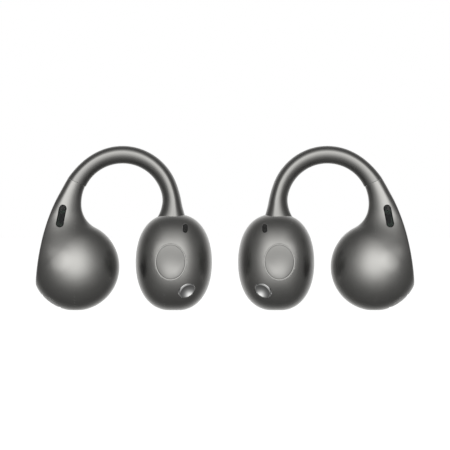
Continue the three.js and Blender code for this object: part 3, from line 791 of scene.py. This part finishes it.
def makeBatteryPod():
    shell = boolean(eggSkin("eggOutside", 0, 150, 200), eggSkin("eggInside", egg["wall"], 60, 80))
    buttonOutline = lambda grow: oval(button["halfWidth"], button["halfHeight"], button["gap"] + grow)
    onButton = slantedFront(button, eggFrontY)
    shell = boolean(shell, plug("buttonPlug", buttonOutline, onButton, button["lip"], button["cut"]))
    portOutline = lambda grow: stadium(port["width"] / 2, port["length"] / 2, grow)
    onPort = slantedFront(port, eggFrontY)
    shell = boolean(shell, plug("portPlug", portOutline, onPort, port["lip"], port["cut"]))
    for mirrorY in (1, -1):
        wide = contact["radius"] + contact["gap"]
        steps = [(wide, -contact["proud"]), (wide, contact["depth"] + contact["below"])]
        shell = boolean(shell, loft("contactHole", discRings(steps, contactFrame(mirrorY))))
    socket = loft("socket", [sleeveRing(a, -sleeve["gap"]) for a in np.linspace(*sleeve["socket"], 40)])
    shell = boolean(shell, socket)

    def collar(grow):
        around = oval(button["halfWidth"], button["halfHeight"], button["collar"] + grow)
        return prismY("collar", [(button["x"] + u, button["z"] + v) for u, v in around], -12, 0)

    outer = boolean(prismY("outerPart", partingOutline(-hairline / 2, -3), -12, 12), collar(0), "UNION")
    inner = boolean(prismY("innerPart", partingOutline(hairline / 2, 20), -12, 12), collar(hairline))
    for name, part in (("outer", outer), ("inner", inner)):
        half = boolean(shell.copy(), part, "INTERSECT")
        addPiece(f"battery_{name}_cover", half, materials["graphiteCoat"],
                 [f"battery_{name}_shell"], body="battery_pod")
    addPiece("button_plate", makeButton(), materials["graphiteButton"], ["control_button"], body="button")
    mesh = perforatedPlate("portMesh", port, onPort, materials["darkMesh"])
    addPiece("port_mesh_screen", mesh, materials["darkMesh"], ["port_mesh"], body="battery_pod")
    for label, mirrorY in (("front", 1), ("back", -1)):
        addPiece(f"contact_cap_{label}", makeContact(mirrorY), materials["polishedContact"],
                 [f"charging_contact_{label}"], body="battery_pod")
    print("battery pods made")


makeBatteryPod()


insideFinish = {
    "driver_frame": "blackNylon", "driver_yoke": "platedSteel", "driver_magnet": "nickelMagnet",
    "driver_plate": "platedSteel", "voice_coil": "copperWinding", "diaphragm": "paperFilm",
    "driver_gasket": "closedFoam", "voice_mic": "moldedChip", "speaker_board": "greenBoard",
    "speaker_wire_anchor": "blackNylon", "dome_switch": "platedSteel", "main_board": "greenBoard",
    "main_chip": "moldedChip", "battery_cell": "steelCan", "case_magnet": "nickelMagnet",
    "battery_wire_anchor": "blackNylon",
}
for side in sides:
    for node, finish in insideFinish.items():
        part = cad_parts[f"{side}_{node}"]
        buds[side].objects.link(part)
        for materialSlot in part.material_slots:
            materialSlot.material = materials[finish]
print("inside parts painted:", len(insideFinish) * len(sides))


studio = {
    "cameraDistance": 0.585, "cameraHeight": 0.01326, "lens": 300,
    # degrees away from a line to the front, tilted up: brightness
    "frontTilt": 10,
    "front": ((0, 1.36), (12, 1.30), (24, 1.08), (36, 0.77), (48, 0.47), (60, 0.295), (74, 0.185), (89, 0.13),
              (106, 0.105), (128, 0.08), (180, 0.06)),
    "upperTilt": 55, "upper": ((0, 0.2), (18, 0.16), (36, 0.05), (52, 0)),
    # degrees away from straight behind: brightness
    "back": ((0, 1.2), (20, 0.75), (36, 0.26), (50, 0.06), (62, 0)),
    "lampAside": 41, "lampUp": 16, "lampAngle": 50, "lampPower": 0.2,
    "floorGlow": 1.0, "floorTint": 0.25,
}


def rampFrom(nodes, links, value, steps):
    # Brightness by angle, from a dot product with a direction
    angle = nodes.new("ShaderNodeMath")
    angle.operation = "ARCCOSINE"
    links.new(value, angle.inputs[0])
    share = nodes.new("ShaderNodeMath")
    share.operation = "DIVIDE"
    share.inputs[1].default_value = math.pi
    links.new(angle.outputs[0], share.inputs[0])
    brightest = 2  # the curve's values stay between 0 and 1
    ramp = nodes.new("ShaderNodeFloatCurve")
    curve = ramp.mapping.curves[0]
    while len(curve.points) < len(steps):
        curve.points.new(0.5, 0.5)
    for point, (degrees, level) in zip(curve.points, steps):
        point.location = (degrees / 180, level / brightest)
        point.handle_type = "AUTO_CLAMPED"
    ramp.mapping.update()
    links.new(share.outputs[0], ramp.inputs["Value"])
    scaled = nodes.new("ShaderNodeMath")
    scaled.operation = "MULTIPLY"
    scaled.inputs[1].default_value = brightest
    links.new(ramp.outputs["Value"], scaled.inputs[0])
    return scaled.outputs[0]


def makeWorld():
    world = bpy.data.worlds.new("studio")
    bpy.context.scene.world = world
    world.use_nodes = True
    nodes, links = world.node_tree.nodes, world.node_tree.links
    background = nodes["Background"]
    background.inputs["Color"].default_value = (1, 1, 1, 1)
    ray = nodes.new("ShaderNodeTexCoord").outputs["Generated"]
    glows = []
    dark = ((180, 0),)
    glowing = ((studio["frontTilt"], studio["front"]), (studio["upperTilt"], studio["upper"] + dark),
               (180, studio["back"] + dark))
    for tilt, steps in glowing:
        dot = nodes.new("ShaderNodeVectorMath")
        dot.operation = "DOT_PRODUCT"
        c, s = direction(tilt)
        dot.inputs[1].default_value = (0, -c, s)
        links.new(ray, dot.inputs[0])
        glows.append(rampFrom(nodes, links, dot.outputs["Value"], steps))
    total = glows[0]
    for value in glows[1:]:
        glow = nodes.new("ShaderNodeMath")
        links.new(total, glow.inputs[0])
        links.new(value, glow.inputs[1])
        total = glow.outputs[0]
    seen = nodes.new("ShaderNodeLightPath").outputs["Is Camera Ray"]
    level = nodes.new("ShaderNodeMix")
    level.inputs["B"].default_value = 1
    links.new(seen, level.inputs["Factor"])
    links.new(total, level.inputs["A"])
    links.new(level.outputs["Result"], background.inputs["Strength"])


def makeLamps():
    # One broad soft lamp beside each bud
    for side, sign in sides.items():
        lamp = bpy.data.lights.new(f"{side}Lamp", "SUN")
        lamp.angle = math.radians(studio["lampAngle"])
        lamp.energy = studio["lampPower"]
        light = bpy.data.objects.new(f"{side}Lamp", lamp)
        aside, up = math.radians(studio["lampAside"]), math.radians(studio["lampUp"])
        source = Vector((sign * math.sin(aside) * math.cos(up), -math.cos(aside) * math.cos(up), math.sin(up)))
        light.rotation_euler = source.to_track_quat("Z", "Y").to_euler()
        bpy.context.scene.collection.objects.link(light)
        light.light_linking.receiver_collection = buds[side]


def makeFloor():
    half = 3000  # millimetres
    points = [(-half, -half, 0), (half, -half, 0), (half, half, 0), (-half, half, 0)]
    mesh = bpy.data.meshes.new("floor")
    mesh.from_pydata((np.array(points) * mm).tolist(), [], [(0, 1, 2, 3)])
    floor = bpy.data.objects.new("floor", mesh)
    bpy.context.scene.collection.objects.link(floor)
    material = bpy.data.materials.new("paleFloor")
    material.use_nodes = True
    shader = material.node_tree.nodes["Principled BSDF"]
    tint = studio["floorTint"]
    shader.inputs["Base Color"].default_value = (tint, tint, tint, 1)
    shader.inputs["Roughness"].default_value = 1
    shader.inputs["Specular IOR Level"].default_value = 0
    shader.inputs["Emission Color"].default_value = (1, 1, 1, 1)
    shader.inputs["Emission Strength"].default_value = studio["floorGlow"]
    mesh.materials.append(material)
    floor.visible_glossy = False
    floor.visible_diffuse = False


def makeCamera():
    data = bpy.data.cameras.new("camera")
    data.lens = studio["lens"]
    data.sensor_width = 36
    camera = bpy.data.objects.new("camera", data)
    camera.location = (0, -studio["cameraDistance"], studio["cameraHeight"])
    camera.rotation_euler = (math.pi / 2, 0, 0)
    bpy.context.scene.collection.objects.link(camera)
    bpy.context.scene.camera = camera


makeWorld()
makeLamps()
makeFloor()
makeCamera()
bpy.context.scene.view_settings.view_transform = "Standard"
print("studio made")
